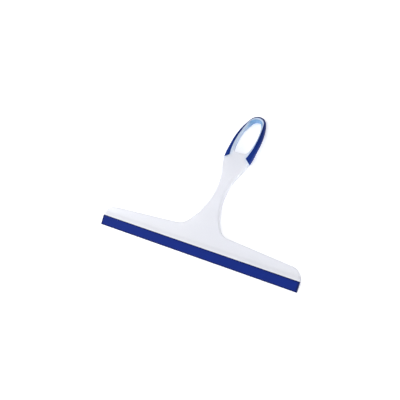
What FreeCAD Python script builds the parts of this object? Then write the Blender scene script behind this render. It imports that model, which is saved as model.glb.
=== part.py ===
"""Window cleaning squeegee, lying front side up. Millimetres.

X runs along the blade, Y from the blade's lip to the loop of the handle, Z up from the table.
The sketches measure Y from the blade's lip. Each finished piece is then moved back by half the
length, so that the origin is the middle of the squeegee's footprint.
Three pieces come apart on a bench: the moulded body, the soft grip that is moulded around the
loop, and the rubber blade that slides into the body's channel.
"""
import FreeCAD, Part
import math
import os
import Sketcher

doc = FreeCAD.newDocument("squeegee")
sheet = doc.addObject("Spreadsheet::Sheet", "sizes")

SIZES = {
    "whole": {
        "head_length": 245,        # blade and head, end to end
        "overall_length": 177,     # lip of the blade to the tip of the loop
    },
    "blade": {
        "pitch": 20,               # the blade leans this much from the table, degrees
        "lip_length": 11.3,        # how far the blade stands out of the jaw
        "lip_thickness": 1.4,
        "root_thickness": 2.4,
        "stem_thickness": 1.6,     # the web in the slot of the jaw
        "bead_diameter": 3.0,      # the round root that holds the blade in its channel
        "bead_depth": 3.4,         # mouth of the jaw to the middle of the bead
        "root_setback": 3.0,       # stem and bead are cut back this much at each end
        "slide_clearance": 0.1,    # all round the stem and the bead, and in front of the jaw
    },
    "head": {
        "jaw_thickness": 4.8,
        "head_top": 8.4,           # front face of the head above the table
        "plate_thickness": 4.4,
        "corner_radius": 13,
        "corner_place": 9.8,       # lip of the blade to the middle of the corner's arc
        "taper": 4.26,             # slope of the arms, degrees
        "sweep_radius": 15,        # hollow corner between an arm and the handle
        "brow_radius": 8,          # soft bend where the jaw's front meets the head's front
        "heel_radius": 12,         # soft bend where the jaw's back meets the head's back
    },
    "handle": {
        "neck_half": 6.3,
        "neck_place": 76,
        "neck_radius": 67,
        "shoulder_drop": 50,       # tip of the loop to where its sides start to run straight
        "side_drop": 39,           # and to where they start to close
        "tip_radius": 10.5,
        "crest_place": 100,        # the front is a shallow arch with its crest here
        "crest_height": 10.6,
        "hollow_place": 122,       # the back is a shallow arch too, farther out
        "hollow_height": 3.8,
        "tip_height": 4.3,         # front face above the table just past the tip
        "rest_length": 9,          # flat at the tip that lies on the table
        "rest_bend": 30,           # soft bend between this flat and the arch
        "root_place": 52,          # the back of the handle runs out into the head from here
        "root_height": 2.0,
        "plate_end": 30,           # to here
        "front_rounding": 2.0,
        "back_rounding": 1.7,
    },
    "loop": {
        "hole_half": 10.8,
        "hole_length": 44.5,
        "hole_side_drop": 32,      # tip of the loop to the widest place of its hole
        "hole_flat_half": 4.5,     # half of the straight bottom of the hole
        "hole_corner_radius": 5,
        "hole_top_radius": 7,
        "hole_rounding": 0.9,
    },
    "grip": {
        "ring_wall": 1.8,          # clear ring between the hole and the grip, at the sides
        "tip_ring_wall": 4.2,      # and at the tip
        "grip_wall": 4.1,          # grip outside the ring, at the sides
        "tip_grip_wall": 2.3,      # and at the tip
        "grip_side_drop": 38,      # tip of the loop to the widest place of the grip's inner edge
        "grip_end_drop": 56.6,     # and to the inner corner of the grip's two ends
        "grip_low_radius": 70,
        "grip_top_radius": 9.6,
        "grip_end_angle": 38,      # the ends are cut at a slant, degrees
        "tongue_reach": 1.1,       # rib of the body that keys into the grip
        "tongue_start": 2,         # the rib starts this far up from the grip's two ends
        "tongue_thickness": 2.0,
        "tongue_place": 108,       # crest of the rib, which follows the middle of the loop
        "tongue_height": 7.1,
        "tongue_tip_height": 2.4,  # middle of the rib above the table, at the tip
    },
    "working": {
        "margin": 5,               # tools reach this far past what they cut
    },
}

# Places that follow from the sizes: the loop hangs from its tip, and its walls lie side by side.
LINKED = {
    "shoulder_place": ("overall_length", "-shoulder_drop"),
    "side_place": ("overall_length", "-side_drop"),
    "grip_side_place": ("overall_length", "-grip_side_drop"),
    "grip_end_place": ("overall_length", "-grip_end_drop"),
    "grip_top": ("overall_length", "-tip_grip_wall"),
    "hole_side_place": ("overall_length", "-hole_side_drop"),
    "hole_top": ("overall_length", "-tip_grip_wall", "-tip_ring_wall"),
    "hole_bottom": ("overall_length", "-tip_grip_wall", "-tip_ring_wall", "-hole_length"),
    "grip_half": ("hole_half", "ring_wall"),
    "loop_half": ("hole_half", "ring_wall", "grip_wall"),
}
# A rim is rounded by at most this share of the plate's thickness.
ROUNDING_SHARES = {"front_rounding": 0.455, "back_rounding": 0.387, "hole_rounding": 0.3}


def fill_sheet():
    """Give every size a cell and an alias."""
    row = 1
    for group, cells in SIZES.items():
        sheet.set(f"A{row}", group)
        row += 1
        for name, number in cells.items():
            sheet.set(f"A{row}", name)
            sheet.set(f"B{row}", str(number))
            sheet.setAlias(f"B{row}", name)
            row += 1
    doc.recompute()


def size(name):
    """A cell's number, or the sum of the cells that a linked place follows from."""
    if name in LINKED:
        return sum(-size(term[1:]) if term[0] == "-" else size(term) for term in LINKED[name])
    return float(sheet.get(name))


def bound(text):
    """Write the names of cells and linked places in an expression as cells of the sheet."""
    for name, terms in LINKED.items():
        parts = [f"- [{term[1:]}]" if term[0] == "-" else f"+ [{term}]" for term in terms]
        text = text.replace(f"[{name}]", f"({' '.join(parts).removeprefix('+ ')})")
    for cells in SIZES.values():
        for name in cells:
            text = text.replace(f"[{name}]", f"sizes.{name}")
    return text


def turned(x, y, degrees):
    """Turn the pair (x, y) counterclockwise."""
    angle = math.radians(degrees)
    return x * math.cos(angle) - y * math.sin(angle), x * math.sin(angle) + y * math.cos(angle)


class Drawing:
    """A sketch on one of a body's own planes: curves, joints between them, and bound sizes."""

    START, END, CENTRE = 1, 2, 3
    ORIGIN, UPRIGHT = -1, -2

    def __init__(self, body, name, plane):
        self.sketch = body.newObject("Sketcher::SketchObject", name)
        self.sketch.AttachmentSupport = [(plane_of(body, plane), "")]
        self.sketch.MapMode = "FlatFace"

    def line(self, start, end):
        edge = Part.LineSegment(FreeCAD.Vector(*start, 0), FreeCAD.Vector(*end, 0))
        return self.sketch.addGeometry(edge, False)

    def arc(self, centre, start, end):
        """An arc, counterclockwise from start to end about its centre."""
        first = math.atan2(start[1] - centre[1], start[0] - centre[0])
        last = math.atan2(end[1] - centre[1], end[0] - centre[0])
        if last < first:
            last += 2 * math.pi
        circle = Part.Circle(FreeCAD.Vector(*centre, 0), FreeCAD.Vector(0, 0, 1), math.dist(centre, start))
        return self.sketch.addGeometry(Part.ArcOfCircle(circle, first, last), False)

    def rule(self, *terms):
        return self.sketch.addConstraint(Sketcher.Constraint(*terms))

    def joint(self, first, first_end, second, second_end, smooth=False):
        self.rule("Tangent" if smooth else "Coincident", first, first_end, second, second_end)

    def drive(self, number, text):
        self.sketch.setExpression(f"Constraints[{number}]", bound(text))

    def across(self, piece, point, text, guess):
        self.drive(self.rule("DistanceX", self.ORIGIN, 1, piece, point, guess), text)

    def up(self, piece, point, text, guess):
        self.drive(self.rule("DistanceY", self.ORIGIN, 1, piece, point, guess), text)

    def back(self, piece, point, text, guess):
        self.drive(self.rule("DistanceX", piece, point, self.ORIGIN, 1, guess), text)

    def down(self, piece, point, text, guess):
        self.drive(self.rule("DistanceY", piece, point, self.ORIGIN, 1, guess), text)

    def place(self, piece, point, texts, guess):
        self.across(piece, point, texts[0], guess[0])
        self.up(piece, point, texts[1], guess[1])

    def radius(self, piece, text, guess):
        self.drive(self.rule("Radius", piece, guess), text)

    def slope(self, piece, text, guess):
        self.drive(self.rule("Angle", piece, math.radians(guess)), text)

    def on_axis(self, piece, point):
        self.rule("PointOnObject", piece, point, self.UPRIGHT)


def plane_of(body, role):
    return next(item for item in body.Origin.OriginFeatures if item.Role == role)


def new_body(name):
    return doc.addObject("PartDesign::Body", name)


def pad(body, drawing, name, length, midplane):
    """Thicken a sketch by a length that is written as an expression."""
    feature = body.newObject("PartDesign::Pad", name)
    feature.Profile = drawing.sketch
    feature.Type = 0
    feature.SideType = 2 if midplane else 0
    feature.setExpression("Length", bound(length))
    feature.Refine = True
    doc.recompute()
    return feature


def mirrored(body, feature, name):
    """Add the left half of a body that was drawn as its right half."""
    mirror = body.newObject("PartDesign::Mirrored", name)
    mirror.Originals = [feature]
    mirror.MirrorPlane = (plane_of(body, "YZ_Plane"), [""])
    mirror.Refine = True
    body.Tip = mirror
    doc.recompute()
    return mirror


def side_radius(half, small, distance):
    """Radius of the arc that starts upright at the half width and runs into a small end arc."""
    return (half ** 2 + distance ** 2 - small ** 2) / (2 * (half - small))


def meeting(side_centre, end_centre, small):
    """Point where a long side arc runs into the small end arc."""
    reach = math.dist(side_centre, end_centre)
    return tuple(e + (e - s) * small / reach for s, e in zip(side_centre, end_centre))


# --- the blank: plan outline crossed with the side outline --------------------------------

def draw_hole(plan):
    """Right half of the loop's hole, from its top down to its flat bottom. Returns its two ends."""
    half, place = size("hole_half"), size("hole_side_place")
    top, top_radius = size("hole_top"), size("hole_top_radius")
    bottom, flat_half = size("hole_bottom"), size("hole_flat_half")
    corner_radius = size("hole_corner_radius")
    top_centre = (0, top - top_radius)
    corner_centre = (flat_half, bottom + corner_radius)
    upper_centre = (half - side_radius(half, top_radius, top_centre[1] - place), place)
    lower_radius = side_radius(half - flat_half, corner_radius, place - corner_centre[1])
    lower_centre = (half - lower_radius, place)
    upper_end = meeting(upper_centre, top_centre, top_radius)
    lower_end = meeting(lower_centre, corner_centre, corner_radius)
    crown = plan.arc(top_centre, upper_end, (0, top))
    upper = plan.arc(upper_centre, (half, place), upper_end)
    lower = plan.arc(lower_centre, lower_end, (half, place))
    corner = plan.arc(corner_centre, (flat_half, bottom), lower_end)
    base = plan.line((0, bottom), (flat_half, bottom))
    plan.joint(crown, plan.START, upper, plan.END, smooth=True)
    plan.joint(upper, plan.START, lower, plan.END, smooth=True)
    plan.joint(lower, plan.START, corner, plan.END, smooth=True)
    plan.joint(corner, plan.START, base, plan.END, smooth=True)
    for piece, point in ((crown, plan.END), (crown, plan.CENTRE), (base, plan.START)):
        plan.on_axis(piece, point)
    plan.up(crown, plan.END, "[hole_top]", top)
    plan.radius(crown, "[hole_top_radius]", top_radius)
    plan.rule("Horizontal", base)
    plan.place(base, plan.END, ("[hole_flat_half]", "[hole_bottom]"), (flat_half, bottom))
    plan.radius(corner, "[hole_corner_radius]", corner_radius)
    plan.place(upper, plan.START, ("[hole_half]", "[hole_side_place]"), (half, place))
    plan.up(upper, plan.CENTRE, "[hole_side_place]", place)
    return crown, base


def draw_outline(plan):
    """Right half of the squeegee's outline, from the lower middle round to the tip of the loop."""
    half = size("head_length") / 2
    radius, corner_place, taper = size("corner_radius"), size("corner_place"), size("taper")
    corner = (half - radius, corner_place)
    outward = turned(0, 1, -taper)
    along = turned(-1, 0, -taper)
    arm_start = (corner[0] + radius * outward[0], corner[1] + radius * outward[1])
    neck_radius, sweep_radius = size("neck_radius"), size("sweep_radius")
    neck = (size("neck_half") + neck_radius, size("neck_place"))
    offset = [arm_start[i] + sweep_radius * outward[i] - neck[i] for i in range(2)]
    middle = -(offset[0] * along[0] + offset[1] * along[1])
    spread = middle ** 2 - offset[0] ** 2 - offset[1] ** 2 + (neck_radius - sweep_radius) ** 2
    run = middle + math.sqrt(spread)
    arm_end = tuple(arm_start[i] + run * along[i] for i in range(2))
    sweep = tuple(arm_end[i] + sweep_radius * outward[i] for i in range(2))
    neck_low = meeting(neck, sweep, sweep_radius)

    loop_half, shoulder_place, side_place = size("loop_half"), size("shoulder_place"), size("side_place")
    widening = loop_half - size("neck_half")
    rise = shoulder_place - neck[1]
    shoulder_radius = (widening ** 2 + rise ** 2) / (2 * widening) - neck_radius
    shoulder = (loop_half - shoulder_radius, shoulder_place)
    share = neck_radius / (neck_radius + shoulder_radius)
    neck_high = tuple(neck[i] + (shoulder[i] - neck[i]) * share for i in range(2))
    length, tip_radius = size("overall_length"), size("tip_radius")
    tip = (0, length - tip_radius)
    side = (loop_half - side_radius(loop_half, tip_radius, tip[1] - side_place), side_place)
    side_end = meeting(side, tip, tip_radius)

    base = plan.line((0, 0), (half, 0))
    end = plan.line((half, 0), (half, corner_place))
    corner_arc = plan.arc(corner, (half, corner_place), arm_start)
    arm = plan.line(arm_start, arm_end)
    sweep_arc = plan.arc(sweep, neck_low, arm_end)
    neck_arc = plan.arc(neck, neck_high, neck_low)
    shoulder_arc = plan.arc(shoulder, neck_high, (loop_half, shoulder_place))
    straight = plan.line((loop_half, shoulder_place), (loop_half, side_place))
    side_arc = plan.arc(side, (loop_half, side_place), side_end)
    tip_arc = plan.arc(tip, side_end, (0, length))

    plan.joint(base, plan.START, plan.ORIGIN, 1)
    plan.rule("Horizontal", base)
    plan.across(base, plan.END, "[head_length] / 2", half)
    plan.joint(base, plan.END, end, plan.START)
    plan.rule("Vertical", end)
    plan.up(end, plan.END, "[corner_place]", corner_place)
    plan.joint(end, plan.END, corner_arc, plan.START, smooth=True)
    plan.radius(corner_arc, "[corner_radius]", radius)
    plan.joint(corner_arc, plan.END, arm, plan.START, smooth=True)
    plan.slope(arm, "180 - [taper]", 180 - taper)
    plan.joint(arm, plan.END, sweep_arc, plan.END, smooth=True)
    plan.radius(sweep_arc, "[sweep_radius]", sweep_radius)
    plan.joint(sweep_arc, plan.START, neck_arc, plan.END, smooth=True)
    plan.place(neck_arc, plan.CENTRE, ("[neck_half] + [neck_radius]", "[neck_place]"), neck)
    plan.radius(neck_arc, "[neck_radius]", neck_radius)
    plan.joint(neck_arc, plan.START, shoulder_arc, plan.START, smooth=True)
    plan.joint(shoulder_arc, plan.END, straight, plan.START, smooth=True)
    plan.rule("Vertical", straight)
    plan.place(straight, plan.START, ("[loop_half]", "[shoulder_place]"), (loop_half, shoulder_place))
    plan.up(straight, plan.END, "[side_place]", side_place)
    plan.joint(straight, plan.END, side_arc, plan.START, smooth=True)
    plan.joint(side_arc, plan.END, tip_arc, plan.START, smooth=True)
    plan.radius(tip_arc, "[tip_radius]", tip_radius)
    plan.up(tip_arc, plan.END, "[overall_length]", length)
    plan.on_axis(tip_arc, plan.END)
    plan.on_axis(tip_arc, plan.CENTRE)
    return base, tip_arc


def build_plan():
    """The outline with the hole of the loop, thick enough to hold the whole squeegee."""
    body = new_body("plan_block")
    plan = Drawing(body, "plan_outline", "XY_Plane")
    base, tip_arc = draw_outline(plan)
    crown, hole_base = draw_hole(plan)
    above = plan.line((0, size("overall_length")), (0, size("hole_top")))
    below = plan.line((0, size("hole_bottom")), (0, 0))
    plan.joint(tip_arc, plan.END, above, plan.START)
    plan.joint(above, plan.END, crown, plan.END)
    plan.joint(hole_base, plan.START, below, plan.START)
    plan.joint(below, plan.END, base, plan.START)
    block = pad(body, plan, "plan_pad", "[crest_height] + [margin]", midplane=False)
    mirrored(body, block, "plan_left")
    return body


JAW_PLACE = "([lip_length] * cos([pitch]) + [lip_thickness] / 2 * sin([pitch]))"
JAW_HEIGHT = "([lip_length] * sin([pitch]) + [lip_thickness] / 2 * cos([pitch]))"


def jaw_mouth():
    """Middle of the jaw's mouth, from the lip of the blade: the lip then touches the table."""
    along = turned(size("lip_length"), 0, size("pitch"))
    lift = turned(0, size("lip_thickness") / 2, size("pitch"))
    return along[0] - lift[0], along[1] + lift[1]


def draw_side(side):
    """The side outline: jaw, front arch, tip, back arch, run-out into the back of the head."""
    mouth, pitch = jaw_mouth(), size("pitch")
    lip = turned(0, size("jaw_thickness") / 2, pitch)
    jaw_front = (mouth[0] + lip[0], mouth[1] + lip[1])
    jaw_back = (mouth[0] - lip[0], mouth[1] - lip[1])
    climb = math.tan(math.radians(pitch))
    head_top = size("head_top")
    plate_back = head_top - size("plate_thickness")
    brow = (jaw_front[0] + (head_top - jaw_front[1]) / climb, head_top)
    heel = (jaw_back[0] + (plate_back - jaw_back[1]) / climb, plate_back)
    crest = (size("crest_place"), size("crest_height"))
    hollow = (size("hollow_place"), size("hollow_height"))
    far = size("overall_length") + size("margin")
    tip_front = (far, size("tip_height"))
    rest = (size("overall_length") - size("rest_length"), 0)
    root = (size("root_place"), size("root_height"))
    plate_end = (size("plate_end"), plate_back)

    def arch_radius(top, foot):
        drop, run = top[1] - foot[1], abs(foot[0] - top[0])
        return (run ** 2 + drop ** 2) / (2 * drop)

    def arch_centre(top, foot):
        return top[0], top[1] - arch_radius(top, foot)

    jaw_slope = side.line(jaw_front, brow)
    front_low = side.arc(arch_centre(crest, brow), crest, brow)
    front_high = side.arc(arch_centre(crest, tip_front), tip_front, crest)
    tip_face = side.line(tip_front, (far, 0))
    flat = side.line((far, 0), rest)
    bend_radius = size("rest_bend")
    bend_centre = (rest[0], bend_radius)
    high_radius = arch_radius(hollow, rest) - bend_radius
    high_centre = (hollow[0], hollow[1] - high_radius)
    share = high_radius / (high_radius + bend_radius)
    high_end = tuple(high_centre[i] + (bend_centre[i] - high_centre[i]) * share for i in range(2))
    tip_bend = side.arc(bend_centre, high_end, rest)
    back_high = side.arc(high_centre, high_end, hollow)
    back_low = side.arc(arch_centre(hollow, root), hollow, root)
    run_out = side.line(root, plate_end)
    plate = side.line(plate_end, heel)
    jaw_under = side.line(heel, jaw_back)
    jaw_face = side.line(jaw_back, jaw_front)

    side.joint(jaw_slope, side.END, front_low, side.END)
    side.joint(front_low, side.START, front_high, side.END, smooth=True)
    side.joint(front_high, side.START, tip_face, side.START)
    side.joint(tip_face, side.END, flat, side.START)
    side.joint(flat, side.END, tip_bend, side.END, smooth=True)
    side.joint(tip_bend, side.START, back_high, side.START, smooth=True)
    side.joint(back_high, side.END, back_low, side.START, smooth=True)
    side.joint(back_low, side.END, run_out, side.START)
    side.joint(run_out, side.END, plate, side.START)
    side.joint(plate, side.END, jaw_under, side.START)
    side.joint(jaw_under, side.END, jaw_face, side.START)
    side.joint(jaw_face, side.END, jaw_slope, side.START)
    half_jaw = "[jaw_thickness] / 2"
    side.place(jaw_slope, side.START,
               (f"{JAW_PLACE} - {half_jaw} * sin([pitch])", f"{JAW_HEIGHT} + {half_jaw} * cos([pitch])"),
               jaw_front)
    side.place(jaw_under, side.END,
               (f"{JAW_PLACE} + {half_jaw} * sin([pitch])", f"{JAW_HEIGHT} - {half_jaw} * cos([pitch])"),
               jaw_back)
    side.slope(jaw_slope, "[pitch]", pitch)
    side.slope(jaw_under, "180 + [pitch]", 180 + pitch)
    side.up(jaw_slope, side.END, "[head_top]", head_top)
    side.up(plate, side.END, "[head_top] - [plate_thickness]", plate_back)
    side.rule("Horizontal", plate)
    side.across(plate, side.START, "[plate_end]", plate_end[0])
    side.place(front_low, side.START, ("[crest_place]", "[crest_height]"), crest)
    side.across(front_low, side.CENTRE, "[crest_place]", crest[0])
    side.place(tip_face, side.START, ("[overall_length] + [margin]", "[tip_height]"), tip_front)
    side.rule("Vertical", tip_face)
    side.rule("PointOnObject", tip_face, side.END, -1)
    side.rule("Horizontal", flat)
    side.across(flat, side.END, "[overall_length] - [rest_length]", rest[0])
    side.radius(tip_bend, "[rest_bend]", bend_radius)
    side.place(back_high, side.END, ("[hollow_place]", "[hollow_height]"), hollow)
    side.across(back_high, side.CENTRE, "[hollow_place]", hollow[0])
    side.place(back_low, side.END, ("[root_place]", "[root_height]"), root)
    return {"brow": brow, "heel": heel}


def bend(body, base, name, place, rounding):
    """Round the edge that runs along X at one corner of the side outline."""
    edges = []
    for number, edge in enumerate(base.Shape.Edges, 1):
        middle = edge.CenterOfMass
        ends = [vertex.Point for vertex in edge.Vertexes]
        along_x = len(ends) == 2 and abs(abs(ends[0].x - ends[1].x) - size("head_length")) < 1e-3
        if along_x and math.dist((middle.y, middle.z), place) < 0.01:
            edges.append(f"Edge{number}")
    fillet = body.newObject("PartDesign::Fillet", name)
    fillet.Base = (base, edges)
    fillet.setExpression("Radius", bound(rounding))
    doc.recompute()
    return fillet


def build_profile():
    """The side outline along the whole head, with soft bends instead of creases."""
    body = new_body("side_block")
    side = Drawing(body, "side_outline", "YZ_Plane")
    creases = draw_side(side)
    block = pad(body, side, "side_pad", "[head_length]", midplane=True)
    smooth = bend(body, block, "brow_bend", creases["brow"], "[brow_radius]")
    bend(body, smooth, "heel_bend", creases["heel"], "[heel_radius]")
    return body


def outward(face, point):
    """Outward direction of a face at a point on it."""
    return face.normalAt(*face.Surface.parameter(point))


def rim_edges(shape, front, hole):
    """Numbers of the edges between an upright rim and the front or the back of the blank."""
    chosen = []
    hole_middle = FreeCAD.Vector(0, size("hole_side_place"), 0)
    for number, edge in enumerate(shape.Edges, 1):
        faces = shape.ancestorsOfType(edge, Part.Face)
        if len(faces) != 2:
            continue
        point = edge.valueAt((edge.FirstParameter + edge.LastParameter) / 2)
        wall, cover = sorted((outward(face, point) for face in faces), key=lambda way: abs(way.z))
        if abs(wall.z) > 0.01 or abs(cover.z) < 0.7:
            continue
        faces_hole = wall.dot(hole_middle - point) > 0 and point.y > size("hole_bottom") - 1
        if (cover.z > 0) == front and faces_hole == hole:
            chosen.append(number)
    return chosen


def rounded(base, name, front, hole, cell):
    """Round one rim of the blank."""
    fillet = doc.addObject("Part::Fillet", name)
    fillet.Base = base
    radius = min(size(cell), ROUNDING_SHARES[cell] * size("plate_thickness"))
    fillet.Edges = [(number, radius, radius) for number in rim_edges(base.Shape, front, hole)]
    doc.recompute()
    return fillet


def boolean(kind, name, base, tool):
    result = doc.addObject(kind, name)
    result.Base = base
    result.Tool = tool
    result.Refine = True
    doc.recompute()
    return result


def build_blank():
    """Body and grip as one rounded solid, before the grip and the blade's channel are taken out."""
    sharp = boolean("Part::Common", "sharp_blank", build_plan(), build_profile())
    blank = rounded(sharp, "front_rim", True, False, "front_rounding")
    blank = rounded(blank, "back_rim", False, False, "back_rounding")
    blank = rounded(blank, "hole_front_rim", True, True, "hole_rounding")
    return rounded(blank, "hole_back_rim", False, True, "hole_rounding")


# --- the grip: a horseshoe round the loop, keyed on by a rib of the body --------------------

def draw_inner_edge(plan, reach):
    """Right half of the grip's inner edge, moved outward by a reach: crown, upper and lower side."""
    add = f" + {reach}" if reach else ""
    extra = size("tongue_reach") if reach else 0
    half, place = size("grip_half") + extra, size("grip_side_place")
    top, top_radius = size("grip_top") + extra, size("grip_top_radius") + extra
    low_radius = size("grip_low_radius") + extra
    end_place = size("grip_end_place") + (size("tongue_start") if reach else 0)
    top_centre = (0, top - top_radius)
    upper_centre = (half - side_radius(half, top_radius, top_centre[1] - place), place)
    upper_end = meeting(upper_centre, top_centre, top_radius)
    low_centre = (half - low_radius, place)
    low_end = (low_centre[0] + math.sqrt(low_radius ** 2 - (place - end_place) ** 2), end_place)
    crown = plan.arc(top_centre, upper_end, (0, top))
    upper = plan.arc(upper_centre, (half, place), upper_end)
    lower = plan.arc(low_centre, low_end, (half, place))
    plan.joint(crown, plan.START, upper, plan.END, smooth=True)
    plan.joint(upper, plan.START, lower, plan.END, smooth=True)
    plan.on_axis(crown, plan.END)
    plan.on_axis(crown, plan.CENTRE)
    plan.up(crown, plan.END, "[grip_top]" + add, top)
    plan.radius(crown, "[grip_top_radius]" + add, top_radius)
    plan.place(upper, plan.START, ("[grip_half]" + add, "[grip_side_place]"), (half, place))
    plan.up(upper, plan.CENTRE, "[grip_side_place]", place)
    plan.radius(lower, "[grip_low_radius]" + add, low_radius)
    plan.up(lower, plan.START, "[grip_end_place]" + (" + [tongue_start]" if reach else ""), end_place)
    return crown, lower, low_end


def build_grip_block():
    """Everything outside the grip's inner edge and above its two slanted ends."""
    body = new_body("grip_block")
    plan = Drawing(body, "grip_outline", "XY_Plane")
    crown, lower, low_end = draw_inner_edge(plan, None)
    far = size("loop_half") + size("margin")
    top = size("overall_length") + size("margin")
    slant = size("grip_end_angle")
    outer_low = (far, low_end[1] - (far - low_end[0]) * math.tan(math.radians(slant)))
    end = plan.line(low_end, outer_low)
    side = plan.line(outer_low, (far, top))
    over = plan.line((far, top), (0, top))
    middle = plan.line((0, top), (0, size("grip_top")))
    plan.joint(lower, plan.START, end, plan.START)
    plan.joint(end, plan.END, side, plan.START)
    plan.joint(side, plan.END, over, plan.START)
    plan.joint(over, plan.END, middle, plan.START)
    plan.joint(middle, plan.END, crown, plan.END)
    plan.slope(end, "-[grip_end_angle]", -slant)
    plan.rule("Vertical", side)
    plan.rule("Horizontal", over)
    plan.place(side, plan.END, ("[loop_half] + [margin]", "[overall_length] + [margin]"), (far, top))
    plan.on_axis(middle, plan.START)
    block = pad(body, plan, "grip_pad", "2 * ([crest_height] + [margin])", midplane=True)
    mirrored(body, block, "grip_left")
    return body


TONGUE_DROP = "([tongue_height] - [tongue_tip_height])"
TONGUE_RUN = "([overall_length] - [tongue_place])"
TONGUE_BEND = f"(({TONGUE_RUN} ^ 2 + {TONGUE_DROP} ^ 2) / (2 * {TONGUE_DROP}))"


def tongue_bend():
    """Radius of the rib's arc, from its crest to its place at the tip."""
    drop = size("tongue_height") - size("tongue_tip_height")
    run = size("overall_length") - size("tongue_place")
    return (run ** 2 + drop ** 2) / (2 * drop)


def build_tongue():
    """The rib that keys the body into the grip: a flat ring that follows the arch of the loop."""
    flat = new_body("tongue_plan")
    plan = Drawing(flat, "tongue_outline", "XY_Plane")
    crown, lower, low_end = draw_inner_edge(plan, "[tongue_reach]")
    under = plan.line(low_end, (0, low_end[1]))
    middle = plan.line((0, low_end[1]), (0, size("grip_top") + size("tongue_reach")))
    plan.joint(lower, plan.START, under, plan.START)
    plan.joint(under, plan.END, middle, plan.START)
    plan.joint(middle, plan.END, crown, plan.END)
    plan.rule("Horizontal", under)
    plan.on_axis(under, plan.END)
    block = pad(flat, plan, "tongue_pad", "2 * ([crest_height] + [margin])", midplane=True)
    mirrored(flat, block, "tongue_left")

    bent = new_body("tongue_layer")
    side = Drawing(bent, "tongue_side", "YZ_Plane")
    half = size("tongue_thickness") / 2
    near = size("grip_end_place") - size("margin")
    far = size("overall_length") + size("margin")
    bend_radius = tongue_bend()
    depth = bend_radius - size("tongue_height")
    centre = (size("tongue_place"), -depth)

    def on_arc(radius, place):
        return place, centre[1] + math.sqrt(radius ** 2 - (place - centre[0]) ** 2)

    outer, inner = bend_radius + half, bend_radius - half
    front = side.arc(centre, on_arc(outer, far), on_arc(outer, near))
    back = side.arc(centre, on_arc(inner, far), on_arc(inner, near))
    near_face = side.line(on_arc(outer, near), on_arc(inner, near))
    far_face = side.line(on_arc(outer, far), on_arc(inner, far))
    side.across(front, side.CENTRE, "[tongue_place]", centre[0])
    side.down(front, side.CENTRE, f"{TONGUE_BEND} - [tongue_height]", depth)
    side.joint(front, side.CENTRE, back, side.CENTRE)
    side.radius(front, f"{TONGUE_BEND} + [tongue_thickness] / 2", outer)
    side.radius(back, f"{TONGUE_BEND} - [tongue_thickness] / 2", inner)
    side.joint(front, side.END, near_face, side.START)
    side.joint(back, side.END, near_face, side.END)
    side.joint(front, side.START, far_face, side.START)
    side.joint(back, side.START, far_face, side.END)
    side.rule("Vertical", near_face)
    side.rule("Vertical", far_face)
    side.across(near_face, side.START, "[grip_end_place] - [margin]", near)
    side.across(far_face, side.START, "[overall_length] + [margin]", far)
    pad(bent, side, "tongue_side_pad", "2 * ([loop_half] + [margin])", midplane=True)
    return boolean("Part::Common", "tongue", flat, bent)


# --- the blade and its channel, drawn along the blade's own slope ---------------------------

def tilted_drawing(body, name):
    """A side sketch with its origin in the jaw's mouth and its X axis going into the jaw."""
    drawing = Drawing(body, name, "YZ_Plane")
    drawing.sketch.setExpression(".AttachmentOffset.Base.x", bound(JAW_PLACE))
    drawing.sketch.setExpression(".AttachmentOffset.Base.y", bound(JAW_HEIGHT))
    drawing.sketch.setExpression(".AttachmentOffset.Rotation.Angle", bound("[pitch]"))
    return drawing


def draw_root(side, start, stem, bead):
    """Stem and round bead, both halves. Returns the two lines of the stem.

    start is the stem's outer end, stem its half width and bead the bead's radius: each of the
    three is a pair of the expression and its present number.
    """
    depth = size("bead_depth")
    meet = depth - math.sqrt(bead[1] ** 2 - stem[1] ** 2)
    upper = side.line((-start[1], stem[1]), (meet, stem[1]))
    lower = side.line((-start[1], -stem[1]), (meet, -stem[1]))
    round_end = side.arc((depth, 0), (meet, -stem[1]), (meet, stem[1]))
    side.joint(upper, side.END, round_end, side.END)
    side.joint(lower, side.END, round_end, side.START)
    side.rule("Horizontal", upper)
    side.up(upper, side.START, stem[0], stem[1])
    side.back(upper, side.START, start[0], start[1])
    side.rule("Symmetric", upper, side.START, lower, side.START, -1)
    side.rule("Symmetric", upper, side.END, lower, side.END, -1)
    side.across(round_end, side.CENTRE, "[bead_depth]", depth)
    side.radius(round_end, bead[0], bead[1])
    return upper, lower


def build_channel():
    """The keyhole channel of the jaw, open at both ends of the head."""
    body = new_body("channel")
    side = tilted_drawing(body, "channel_outline")
    gap = size("slide_clearance")
    start = ("[margin]", size("margin"))
    stem = ("[stem_thickness] / 2 + [slide_clearance]", size("stem_thickness") / 2 + gap)
    bead = ("[bead_diameter] / 2 + [slide_clearance]", size("bead_diameter") / 2 + gap)
    upper, lower = draw_root(side, start, stem, bead)
    mouth = side.line((-start[1], stem[1]), (-start[1], -stem[1]))
    side.joint(upper, side.START, mouth, side.START)
    side.joint(lower, side.START, mouth, side.END)
    pad(body, side, "channel_pad", "[head_length] + 2 * [margin]", midplane=True)
    return body


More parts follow.
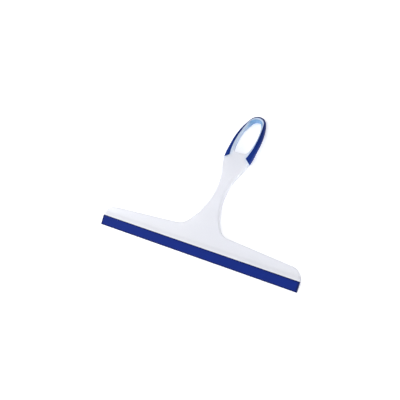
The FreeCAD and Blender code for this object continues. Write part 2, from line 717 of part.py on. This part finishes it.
def build_blade():
    """One rubber extrusion: square-cut lip, tapered web, and a stem and bead cut back at the ends."""
    body = new_body("blade")
    web = tilted_drawing(body, "web_outline")
    gap = size("slide_clearance")
    root, lip = size("root_thickness") / 2, size("lip_thickness") / 2
    reach = size("lip_length")
    upper = web.line((-gap, root), (-reach, lip))
    lower = web.line((-gap, -root), (-reach, -lip))
    shoulder = web.line((-gap, root), (-gap, -root))
    edge = web.line((-reach, lip), (-reach, -lip))
    for face, end in ((upper, web.START), (lower, web.END)):
        web.joint(face, web.START, shoulder, end)
        web.joint(face, web.END, edge, end)
    web.back(upper, web.START, "[slide_clearance]", gap)
    web.up(upper, web.START, "[root_thickness] / 2", root)
    web.back(upper, web.END, "[lip_length]", reach)
    web.up(upper, web.END, "[lip_thickness] / 2", lip)
    web.rule("Symmetric", upper, web.START, lower, web.START, -1)
    web.rule("Symmetric", upper, web.END, lower, web.END, -1)
    pad(body, web, "web_pad", "[head_length]", midplane=True)

    side = tilted_drawing(body, "root_outline")
    start = ("[slide_clearance]", gap)
    stem = ("[stem_thickness] / 2", size("stem_thickness") / 2)
    bead = ("[bead_diameter] / 2", size("bead_diameter") / 2)
    stem_upper, stem_lower = draw_root(side, start, stem, bead)
    foot = side.line((-gap, stem[1]), (-gap, -stem[1]))
    side.joint(stem_upper, side.START, foot, side.START)
    side.joint(stem_lower, side.START, foot, side.END)
    pad(body, side, "root_pad", "[head_length] - 2 * [root_setback]", midplane=True)
    return body


def build_pieces():
    """Body, grip and blade, moved so that the origin is the middle of the footprint."""
    blank = build_blank()
    mould = boolean("Part::Cut", "grip_mould", build_grip_block(), build_tongue())
    grip = boolean("Part::Common", "grip", blank, mould)
    bare = boolean("Part::Cut", "loop_with_tongue", blank, mould)
    body = boolean("Part::Cut", "body", bare, build_channel())
    pieces = [body, grip, build_blade()]
    for piece in pieces:
        piece.setExpression("Placement.Base.y", bound("-[overall_length] / 2"))
    doc.recompute()
    return pieces


def check_document():
    for item in doc.Objects:
        if "Invalid" in item.State or "Error" in item.State:
            raise RuntimeError(f"{item.Label} did not build: {item.State}")


def write_pieces(pieces):
    os.makedirs("parts", exist_ok=True)
    for piece in pieces:
        shape = piece.Shape
        if shape.isNull() or not shape.isValid() or len(shape.Solids) != 1:
            raise RuntimeError(f"{piece.Label} is not one sound solid")
        shape.exportStep(f"parts/{piece.Label}.step")
        box = shape.BoundBox
        print(f"{piece.Label}: {shape.Volume:.0f} mm3, X {box.XMin:.2f} {box.XMax:.2f}, "
              f"Y {box.YMin:.2f} {box.YMax:.2f}, Z {box.ZMin:.2f} {box.ZMax:.2f}")


fill_sheet()
pieces = build_pieces()
check_document()
write_pieces(pieces)
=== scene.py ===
# %% [markdown]
# # A hand squeegee for windows
#
# The squeegee has three pieces: a frosted moulded body, a soft grip that is moulded round the
# loop of its handle, and a rubber blade that slides into a channel in the body's front edge.
# The body and the grip come in finished from the measured model, so they only need good
# finishes. The blade is the piece that does the work, and it is modelled again here with the
# soft corners and the slight waviness that an extruded strip of rubber has.

# %% Load the measured model
import math

import bmesh
import bpy
from mathutils import Matrix, Vector


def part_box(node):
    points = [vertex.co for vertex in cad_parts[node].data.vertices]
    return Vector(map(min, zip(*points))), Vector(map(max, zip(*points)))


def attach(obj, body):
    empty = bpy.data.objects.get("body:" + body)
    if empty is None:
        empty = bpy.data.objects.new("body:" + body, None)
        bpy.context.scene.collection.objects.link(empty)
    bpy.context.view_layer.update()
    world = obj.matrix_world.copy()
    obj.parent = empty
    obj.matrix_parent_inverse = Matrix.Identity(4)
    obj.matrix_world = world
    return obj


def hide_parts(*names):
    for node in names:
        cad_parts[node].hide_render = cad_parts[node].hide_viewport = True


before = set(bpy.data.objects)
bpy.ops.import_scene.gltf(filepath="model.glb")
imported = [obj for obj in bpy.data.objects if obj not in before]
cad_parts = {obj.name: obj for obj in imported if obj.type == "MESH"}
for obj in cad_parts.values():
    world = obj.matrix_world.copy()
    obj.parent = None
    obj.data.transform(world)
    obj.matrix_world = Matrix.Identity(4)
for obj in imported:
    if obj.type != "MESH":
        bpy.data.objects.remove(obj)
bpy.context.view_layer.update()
MM = 0.001

# %% [markdown]
# ## Shader sums written as sums
#
# A pattern is arithmetic on positions, and long chains of Math nodes are hard to read. This
# small class wraps a node's output, so that a line such as `1 - mask * 0.3` adds the nodes
# itself. The number may stand on either side of the operator.

# %% A number that comes out of a node
class Value:
    """A node's output in one finish. Sums of values add Math nodes."""

    def __init__(self, finish, socket):
        self.finish, self.socket = finish, socket

    def math(self, operation, *terms):
        sockets = dict(enumerate(terms))
        return self.finish.node("ShaderNodeMath", {"operation": operation}, sockets)

    def __add__(self, other):
        return self.math("ADD", self, other)

    __radd__ = __add__

    def __sub__(self, other):
        return self.math("SUBTRACT", self, other)

    def __rsub__(self, other):
        return self.math("SUBTRACT", other, self)

    def __mul__(self, other):
        return self.math("MULTIPLY", self, other)

    __rmul__ = __mul__

    def __abs__(self):
        return self.math("ABSOLUTE", self)

    def above(self, other):
        return self.math("MAXIMUM", self, other)

    def rise(self, start, end):
        """0 before start, 1 after end, and a smooth step between them. End may be the lower one."""
        low, high = (0, 1) if start < end else (1, 0)
        spans = {0: self, 1: min(start, end), 2: max(start, end), 3: low, 4: high}
        return self.finish.node("ShaderNodeMapRange", {"interpolation_type": "SMOOTHSTEP"}, spans)


# %% [markdown]
# ## One finish, one material
#
# Each finish starts from Blender's Principled shader. What is the same all over is set on the
# shader itself. What changes over the surface is fed from nodes, and only into the colour, the
# roughness and the normal. Patterns are placed by Object coordinates: every piece sits at the
# origin with its place in its mesh, so these are true distances on the squeegee, in metres.

# %% A finish and its patterns
class Finish:
    """A material with the Principled shader in place, and short ways to add nodes."""

    def __init__(self, name, **constants):
        self.material = bpy.data.materials.new(name)
        self.material.use_nodes = True
        self.tree = self.material.node_tree
        self.shader = self.tree.nodes["Principled BSDF"]
        for socket, number in constants.items():
            self.shader.inputs[socket.replace("_", " ")].default_value = number
        self.where = self.node("ShaderNodeTexCoord", out="Object")
        self.x, self.y, self.z = (
            self.node("ShaderNodeSeparateXYZ", sockets={0: self.where}, out=axis) for axis in "XYZ")

    def node(self, kind, settings=None, sockets=None, out=0):
        made = self.tree.nodes.new(kind)
        for name, setting in (settings or {}).items():
            setattr(made, name, setting)
        for name, given in (sockets or {}).items():
            self.feed(made.inputs[name], given)
        return Value(self, made.outputs[out])

    def feed(self, socket, given):
        if isinstance(given, Value):
            self.tree.links.new(given.socket, socket)
        else:
            socket.default_value = given

    def noise(self, size, detail=2, stretch=(1, 1, 1)):
        """Noise from 0 to 1 whose grains are about size metres across, times the stretch."""
        scale = [1 / (size * s) for s in stretch]
        spot = self.node("ShaderNodeMapping", {"vector_type": "POINT"}, {0: self.where, 3: scale})
        return self.node("ShaderNodeTexNoise", sockets={0: spot, "Scale": 1, "Detail": detail})

    def tint(self, amount, base, colour):
        """The base colour, turned towards another by an amount from 0 to 1."""
        return self.node("ShaderNodeMix", {"data_type": "RGBA"}, {0: amount, 6: base, 7: colour}, 2)

    def bump(self, height, depth, under=None):
        """A surface that rises by depth metres where height goes from 0 to 1."""
        sockets = {"Height": height, "Distance": depth, "Strength": 1}
        if under:
            sockets["Normal"] = under
        return self.node("ShaderNodeBump", sockets=sockets)

    def surface(self, colour, roughness, normal):
        for socket, given in (("Base Color", colour), ("Roughness", roughness), ("Normal", normal)):
            self.feed(self.shader.inputs[socket], given)


def paint(node, finish):
    """Give a piece of the measured model its finish."""
    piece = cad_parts[node]
    piece.data.materials.clear()
    piece.data.materials.append(finish.material)
    print(node, "is", finish.material.name, "with", len(finish.tree.nodes), "nodes")


def rgb(red, green, blue):
    """A colour as a screen shows it, 0 to 255, as the linear colour that a shader takes."""
    shown = (c / 255 for c in (red, green, blue))
    return (*(c / 12.92 if c <= 0.04045 else ((c + 0.055) / 1.055) ** 2.4 for c in shown), 1)


# %% [markdown]
# ## Where things are
#
# The grip's box tells where its two lower ends are, and the blade's box where its lip is. The
# patterns below hang on these places, so that they follow the measured model.

# %% Places on the squeegee
grip_low, grip_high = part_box("grip")
blade_low, blade_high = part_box("blade")
LOOP_TIP = grip_high.y
LIP = blade_low.y
GRIP_END = grip_low.y
print("loop tip, lip and grip end, mm:", [round(c / MM, 1) for c in (LOOP_TIP, LIP, GRIP_END)])

# %% [markdown]
# ## The mould's parting line
#
# Two halves of a mould meet along the rim of the body, and leave a hair-thin ridge there. On
# the head it runs at one height, and along the handle it follows the arch. The same line goes
# on round the grip, because the grip's mould closes along the same arch.

# %% The height of the parting line
HEAD_PARTING = 6.2 * MM
ARCH_CREST, ARCH_HEIGHT, ARCH_RADIUS = LIP + 108 * MM, 7.1 * MM, 509 * MM
RIDGE_WIDTH, RIDGE_HEIGHT = 0.16 * MM, 0.05 * MM


def parting_ridge(finish):
    """1 on the parting line of the body or the grip, 0 away from it."""
    along = finish.y - ARCH_CREST
    arch = ARCH_HEIGHT - along * along * (0.5 / ARCH_RADIUS)
    on_head = finish.y.rise(LIP + 139 * MM, LIP + 137 * MM)
    line = arch + (arch.above(HEAD_PARTING) - arch) * on_head
    return abs(finish.z - line).rise(RIDGE_WIDTH, 0)


# %% [markdown]
# ## Frosted plastic
#
# The body is natural polypropylene, a milky plastic that lets light through but no picture. A
# plain white would look like paint. So the shader passes a part of the light, and scatters the
# rest a few millimetres deep. The melt leaves faint clouds in it, and a finer flow mark drawn
# out along the head.

# %% The finish of the body
frosted = Finish(
    "frosted_plastic", IOR=1.49, Transmission_Weight=0.3, Subsurface_Weight=0.35,
    Subsurface_Scale=4 * MM, Subsurface_Radius=(1.0, 1.0, 1.0))
clouds = frosted.noise(30 * MM, detail=3)
flow = frosted.noise(6 * MM, detail=2, stretch=(3, 1, 1))
MILK, COOL_MILK = rgb(238, 238, 241), rgb(232, 233, 240)
milky = frosted.tint(clouds * 0.7 + flow * 0.3, MILK, COOL_MILK)
print("plain plastic:", len(frosted.tree.nodes), "nodes")

# %% [markdown]
# Light that enters a milky plate leaves it again a few millimetres away, and at a rounded rim
# much of it gets out through the side, so the rims of such a moulding look a little greyer than
# its faces. Here that shade is painted into the colour: a rim is where the true normal is tilted.

# %% Painted shade on the rims
facing_up = frosted.node("ShaderNodeSeparateXYZ", sockets={
    0: frosted.node("ShaderNodeNewGeometry", out="Normal")}, out="Z")
# Painted shade: the tilted rims are turned greyer in the base colour.
RIM_PAINTED_SHADE = rgb(214, 216, 222)
rim = abs(facing_up).rise(0.9, 0.6)
milky = frosted.tint(rim * 0.35, milky, RIM_PAINTED_SHADE)
print("with rims:", len(frosted.tree.nodes), "nodes")

# %% [markdown]
# The clear plastic beside the dark grip takes on a blue from it, and that blue light is painted
# into the colour here. All of the ring gets it, and so does a strip below each slanted grip end.

# %% Painted blue light from the grip on the plastic beside it
RING_PAINTED_BLUE_LIGHT = rgb(205, 224, 252)
RING_EDGE, END_DROP, END_SLANT = 12.6 * MM, 56.6 * MM, math.tan(math.radians(38))
STRIP = 7 * MM
outside = abs(frosted.x) - RING_EDGE
below_end = (LOOP_TIP - END_DROP) - frosted.y - outside * END_SLANT
beside_end = below_end.rise(STRIP, 0) * abs(frosted.x).rise(6 * MM, 12 * MM)
in_ring = frosted.y.rise(LOOP_TIP - 52 * MM, LOOP_TIP - 40 * MM)
# Painted blue light from the grip, laid into the base colour by position.
painted_grip_blue = frosted.tint(beside_end.above(in_ring) * 0.8, milky, RING_PAINTED_BLUE_LIGHT)
print("with the ring:", len(frosted.tree.nodes), "nodes")

# %% [markdown]
# Near the tip the hole's wall is painted a darker blue than the ring's face: painted blue light
# from the grip, with painted shade on the upright walls. The mask takes every surface that stands
# upright, and a band of the face round the top of the hole. That band is only colour: it makes
# the wall look taller than the moulding under it is.

# %% Painted blue light and shade on the hole's wall near the tip
TIP_PAINTED_BLUE_SHADE = rgb(108, 162, 208)
HOLE_CROWN = LOOP_TIP - 13.5 * MM
BAND_OUTSIDE, BAND_INSIDE = 9.3 * MM, 8.6 * MM
at_tip = frosted.y.rise(LOOP_TIP - 26 * MM, LOOP_TIP - 8 * MM)
side_wall = abs(facing_up).rise(0.75, 0.25)
to_crown = frosted.y - HOLE_CROWN
crown = (frosted.x * frosted.x + to_crown * to_crown).rise(BAND_OUTSIDE ** 2, BAND_INSIDE ** 2)
hole_edge = crown * frosted.y.rise(LOOP_TIP - 16 * MM, LOOP_TIP - 10 * MM)
# Painted blue light and shade: upright walls near the tip turn a darker blue.
painted_grip_blue = frosted.tint(at_tip * side_wall.above(hole_edge) * 0.9, painted_grip_blue, TIP_PAINTED_BLUE_SHADE)
print("with the tip:", len(frosted.tree.nodes), "nodes")

# %% [markdown]
# The relief is in three sizes, the finest last: the parting ridge, shallow round marks on the
# back where pins pushed the moulding out, and the grain of the mould's face. Scuffs change only
# the shine.

# %% Relief of the moulded surface
PIN_MARKS = (
    (0, LIP + 38 * MM), (0, LIP + 78 * MM), (45 * MM, LIP + 21.5 * MM), (95 * MM, LIP + 19.5 * MM))
PIN_RADIUS, PIN_SOFTNESS, PIN_DEPTH = 1.7 * MM, 0.1 * MM, 0.06 * MM
GRAIN_SIZE, GRAIN_DEPTH = 0.35 * MM, 0.012 * MM
pins = None
for across, place in PIN_MARKS:
    dx, dy = abs(frosted.x) - across, frosted.y - place
    disc = (dx * dx + dy * dy).rise(
        (PIN_RADIUS + PIN_SOFTNESS) ** 2, (PIN_RADIUS - PIN_SOFTNESS) ** 2)
    pins = disc if pins is None else pins.above(disc)
under_side = facing_up.rise(-0.5, -0.9)
relief = frosted.bump(parting_ridge(frosted), RIDGE_HEIGHT)
relief = frosted.bump(pins * under_side, -PIN_DEPTH, relief)
grain = frosted.noise(GRAIN_SIZE, detail=2)
relief = frosted.bump(grain, GRAIN_DEPTH, relief)
scuffs = frosted.noise(1.2 * MM, detail=1, stretch=(0.25, 14, 1)).rise(0.66, 0.74)
frosted.surface(painted_grip_blue, clouds * 0.06 + scuffs * 0.12 + 0.36, relief)
paint("body", frosted)

# %% [markdown]
# ## Soft grip
#
# The grip is a thermoplastic rubber: darker and duller than the plastic, with a satin skin. Its
# colour is deepest on the outer walls that face away from the light, which the lamps do by
# themselves. The nodes add a faint mottling, a fine tooth, and skin rubbed paler where the hand
# holds it, near the two lower ends.

# %% The finish of the grip
soft = Finish("soft_grip", IOR=1.5, Specular_IOR_Level=0.12)
mottle = soft.noise(5 * MM, detail=3)
NAVY, RUBBED = rgb(10, 34, 98), rgb(12, 46, 126)
TOOTH_SIZE, TOOTH_DEPTH = 0.25 * MM, 0.015 * MM
held = soft.y.rise(GRIP_END + 45 * MM, GRIP_END + 5 * MM)
skin = soft.tint(held * 0.75 + mottle * 0.2, NAVY, RUBBED)
tooth = soft.noise(TOOTH_SIZE, detail=1)
tooth = soft.bump(tooth, TOOTH_DEPTH, soft.bump(parting_ridge(soft), RIDGE_HEIGHT))
soft.surface(skin, mottle * 0.12 + 0.48, tooth)
paint("grip", soft)

# %% [markdown]
# ## The blade's section
#
# A squeegee blade is one extrusion: a web that thins to a square-cut lip, and behind the jaw a
# stem with a round bead, which slides in the body's channel. So it is drawn as a section and
# drawn out lengthwise, which is how it is made. Stem and bead are cut back at both ends, inside
# the rounded corners of the body. Across the section, u runs into the jaw and v stands square to
# it. The lip leans on the table, and that is how the section finds its place.

# %% Sizes of the section
PITCH = math.radians(20)
LIP_REACH, LIP_HALF = 11.3 * MM, 0.7 * MM
ROOT_GAP, ROOT_HALF = 0.1 * MM, 1.2 * MM
STEM_HALF, BEAD_RADIUS, BEAD_DEPTH = 0.8 * MM, 1.5 * MM, 3.4 * MM
ROOT_SETBACK, FOOT_SUNK = 3 * MM, 0.5 * MM
CORNER, END_CORNER = 0.16 * MM, 0.08 * MM
mouth_y = LIP + LIP_REACH * math.cos(PITCH) + LIP_HALF * math.sin(PITCH)
mouth_z = blade_low.z + LIP_REACH * math.sin(PITCH) + LIP_HALF * math.cos(PITCH)
print("mouth of the jaw, mm:", round(mouth_y / MM, 2), round(mouth_z / MM, 2))

# %% [markdown]
# The web's section is a face with four corners. A vertex bevel rounds them, since rubber is never
# quite sharp. The root's section is the stem's three sides, and an arc that is one vertex spun
# about the middle of the bead. Its foot stands half a millimetre inside the web, so the two
# closed shells hold together when the web leans.

# %% Draw the two sections
blade = bmesh.new()
web = [blade.verts.new((0, u, v)) for u, v in (
    (-LIP_REACH, -LIP_HALF), (-LIP_REACH, LIP_HALF),
    (-ROOT_GAP, ROOT_HALF), (-ROOT_GAP, -ROOT_HALF))]
blade.faces.new(web)
bmesh.ops.bevel(
    blade, geom=web, offset=CORNER, offset_type="OFFSET", segments=4, profile=0.5,
    affect="VERTICES", material=-1)
stem_end = BEAD_DEPTH - math.sqrt(BEAD_RADIUS ** 2 - STEM_HALF ** 2)
stem = blade.verts.new((0, stem_end, STEM_HALF))
foot = [blade.verts.new((0, -ROOT_GAP - FOOT_SUNK, side * STEM_HALF)) for side in (1, -1)]
half_turn = math.pi - math.asin(STEM_HALF / BEAD_RADIUS)
bead = bmesh.ops.spin(
    blade, geom=[stem], cent=(0, BEAD_DEPTH, 0), axis=(-1, 0, 0), angle=2 * half_turn,
    steps=28, use_duplicate=False)
bead_end = bead["geom_last"][0]
for pair in ((foot[0], stem), foot, (foot[1], bead_end)):
    blade.edges.new(pair)
bmesh.ops.contextual_create(blade, geom=[edge for edge in blade.edges if edge.is_wire])
print("sections:", len(blade.verts), "corners and", len(blade.faces), "faces")

# %% [markdown]
# ## Drawing it out
#
# The sections are extruded to their two lengths, and the cut ends get a tiny bevel. Rings of
# vertices along the length then let the thin web wander by a few hundredths of a millimetre, as
# soft rubber does, while the bead stays straight in its channel.

# %% Extrude, cut into rings, and let it wander
length = blade_high.x - blade_low.x
web_first = sorted(blade.faces, key=lambda face: face.calc_center_median().y)
for section, reach in zip(web_first, (length, length - 2 * ROOT_SETBACK)):
    bmesh.ops.translate(blade, verts=list(section.verts), vec=(-reach / 2, 0, 0))
    pulled = bmesh.ops.extrude_face_region(blade, geom=[section], use_keep_orig=True)
    far_end = [item for item in pulled["geom"] if isinstance(item, bmesh.types.BMVert)]
    bmesh.ops.translate(blade, verts=far_end, vec=(reach, 0, 0))
ends = [face for face in blade.faces if len(face.verts) > 4]
rims = {edge for face in ends for edge in face.edges}
bmesh.ops.bevel(
    blade, geom=list(rims), offset=END_CORNER, offset_type="OFFSET", segments=2, profile=0.5,
    affect="EDGES", material=-1, clamp_overlap=True)
long_edges = [edge for edge in blade.edges if edge.calc_length() > length / 2]
bmesh.ops.subdivide_edges(blade, edges=long_edges, cuts=96, use_grid_fill=True)
WANDER = 0.05 * MM
WAVES = ((1, 83, 0), (0.6, 147, 1.3))
for vert in blade.verts:
    free = max(0.0, -vert.co.y / LIP_REACH)
    drift = sum(share * math.sin(vert.co.x * rate + start) for share, rate, start in WAVES)
    vert.co.z += WANDER * free ** 2 * drift
lean = Matrix.Translation((0, mouth_y, mouth_z)) @ Matrix.Rotation(PITCH, 4, "X")
bmesh.ops.transform(blade, matrix=lean, verts=list(blade.verts))
bmesh.ops.recalc_face_normals(blade, faces=list(blade.faces))
print("blade:", len(blade.verts), "vertices,", len(blade.faces), "faces")

# %% [markdown]
# The extrusion makes its faces in an order that changes from run to run. Sorting the vertices,
# edges and faces by where they are numbers them the same way every time.

# %% Number the parts of the mesh by their places
def put_in_order(parts, place):
    """Renumber vertices, edges or faces by a place that no two of them share."""
    rank = {part: number for number, part in enumerate(sorted(parts, key=place))}
    parts.sort(key=lambda part: rank[part])
    parts.index_update()


put_in_order(blade.verts, lambda vert: vert.co[:])
put_in_order(blade.edges, lambda edge: sorted(vert.index for vert in edge.verts))
put_in_order(blade.faces, lambda face: sorted(vert.index for vert in face.verts))
print("first vertex, mm:", [round(c / MM, 2) for c in min(vert.co[:] for vert in blade.verts)])

# %% [markdown]
# ## From bmesh to a piece
#
# The mesh is handed over, shaded smooth, and given a Weighted Normal modifier, which keeps the
# broad faces flat-looking and leaves the roundness to the bevels. The piece rides on the body
# named blade, and stands for the plain blade of the measured model.

# %% The blade as a piece
shape = bpy.data.meshes.new("wiping_blade")
blade.to_mesh(shape)
blade.free()
shape.shade_smooth()
shape.set_sharp_from_angle(angle=math.radians(50))
wiping_blade = bpy.data.objects.new("wiping_blade", shape)
bpy.context.scene.collection.objects.link(wiping_blade)
weighted = wiping_blade.modifiers.new("broad faces stay flat", "WEIGHTED_NORMAL")
weighted.keep_sharp = True
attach(wiping_blade, "blade")
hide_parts("blade")
print(wiping_blade.name, "rides on blade")

# %% [markdown]
# ## Blade rubber
#
# The rubber is a strong royal blue with a soft shine. The die leaves streaks along the whole
# length, so the noise is stretched along X. Close to its edges the strip is painted darker: a
# painted shadow of the gap at the jaw, painted shade on the lip's end face, and a plain darker
# colour towards the cut ends. The lip is also smoother, where wiping has polished it.

# %% The finish of the blade
rubber = Finish("blade_rubber", IOR=1.5, Specular_IOR_Level=0.12)
streaks = rubber.noise(0.5 * MM, detail=2, stretch=(400, 1, 1))
patches = rubber.noise(14 * MM, detail=2)
ROYAL, DEEP, EDGE = rgb(7, 37, 126), rgb(5, 29, 98), rgb(7, 20, 70)
wide = rubber.tint(streaks * 0.5 + patches * 0.5, ROYAL, DEEP)
# Painted shade at the lip and a painted gap shadow at the jaw; darker towards the cut ends.
at_lip = rubber.y.rise(LIP + 1.8 * MM, LIP + 0.3 * MM)
jaw_gap_shadow = rubber.y.rise(mouth_y - 2.4 * MM, mouth_y - 0.8 * MM)
at_end = abs(rubber.x).rise(length / 2 - 2.6 * MM, length / 2 - 0.6 * MM)
darkened_edges = rubber.tint(at_lip.above(jaw_gap_shadow).above(at_end) * 0.75, wide, EDGE)
STREAK_DEPTH, SKIN_SIZE, SKIN_DEPTH = 0.02 * MM, 0.2 * MM, 0.006 * MM
drawn = rubber.bump(streaks, STREAK_DEPTH)
drawn = rubber.bump(rubber.noise(SKIN_SIZE, detail=1), SKIN_DEPTH, drawn)
rubber.surface(darkened_edges, streaks * 0.12 + patches * 0.08 + 0.42 - at_lip * 0.12, drawn)
shape.materials.append(rubber.material)
print("blade is", rubber.material.name, "with", len(rubber.tree.nodes), "nodes")

# %% [markdown]
# ## Floor and light
#
# A product on a white table: the floor is a broad pale sheet that glows a little, and the
# surroundings glow softly without showing in reflections. Two large lamps, on the left and in
# front, make the near left side a little brighter, and a low one on the right lights the side
# walls that face away from them.

# %% The floor
ground = bmesh.new()
bmesh.ops.create_grid(ground, x_segments=1, y_segments=1, size=6)
floor_mesh = bpy.data.meshes.new("floor")
ground.to_mesh(floor_mesh)
ground.free()
floor = bpy.data.objects.new("floor", floor_mesh)
bpy.context.scene.collection.objects.link(floor)
paper = Finish(
    "pale_floor", Roughness=0.9, Emission_Color=rgb(255, 255, 255), Emission_Strength=0.3)
paper.shader.inputs["Base Color"].default_value = rgb(250, 250, 252)
floor_mesh.materials.append(paper.material)
print("floor:", [round(edge, 1) for edge in floor.dimensions], "m")

# %% The light
world = bpy.data.worlds.new("studio")
world.use_nodes = True
glow = world.node_tree.nodes["Background"]
glow.inputs["Color"].default_value = rgb(250, 252, 255)
glow.inputs["Strength"].default_value = 0.79
world.cycles_visibility.glossy = False
bpy.context.scene.world = world
bpy.context.scene.view_settings.view_transform = "Standard"


def softbox(name, place, aim, size, watts):
    """A square lamp at place, turned to aim."""
    data = bpy.data.lights.new(name, "AREA")
    data.size, data.energy = size, watts
    lamp = bpy.data.objects.new(name, data)
    lamp.location = place
    lamp.rotation_mode = "QUATERNION"
    lamp.rotation_quaternion = (Vector(aim) - Vector(place)).to_track_quat("-Z", "Y")
    bpy.context.scene.collection.objects.link(lamp)


softbox("left_lamp", (-0.75, -0.05, 0.4), (-0.05, 0, 0), 0.5, 4.2)
softbox("front_lamp", (0.05, -0.95, 0.4), (0, 0, 0), 0.6, 5.5)
softbox("right_lamp", (0.8, 0.2, 0.14), (0, 0.03, 0), 0.5, 2.5)
print("lamps:", [lamp.name for lamp in bpy.data.lights])

# %% [markdown]
# ## The camera
#
# The camera looks down on the squeegee from the front right, with a short telephoto lens that
# keeps the far end of the blade from shrinking much.

# %% The camera
lens = bpy.data.cameras.new("camera")
lens.lens, lens.sensor_width = 72, 36
lens.clip_start, lens.clip_end = 0.01, 20
camera = bpy.data.objects.new("camera", lens)
camera.location = (0.38997, -0.28801, 0.72371)
camera.rotation_euler = [math.radians(a) for a in (28.9194, 18.8351, 27.2522)]
bpy.context.scene.collection.objects.link(camera)
bpy.context.scene.camera = camera
print("camera, mm:", [round(c / MM) for c in camera.location])
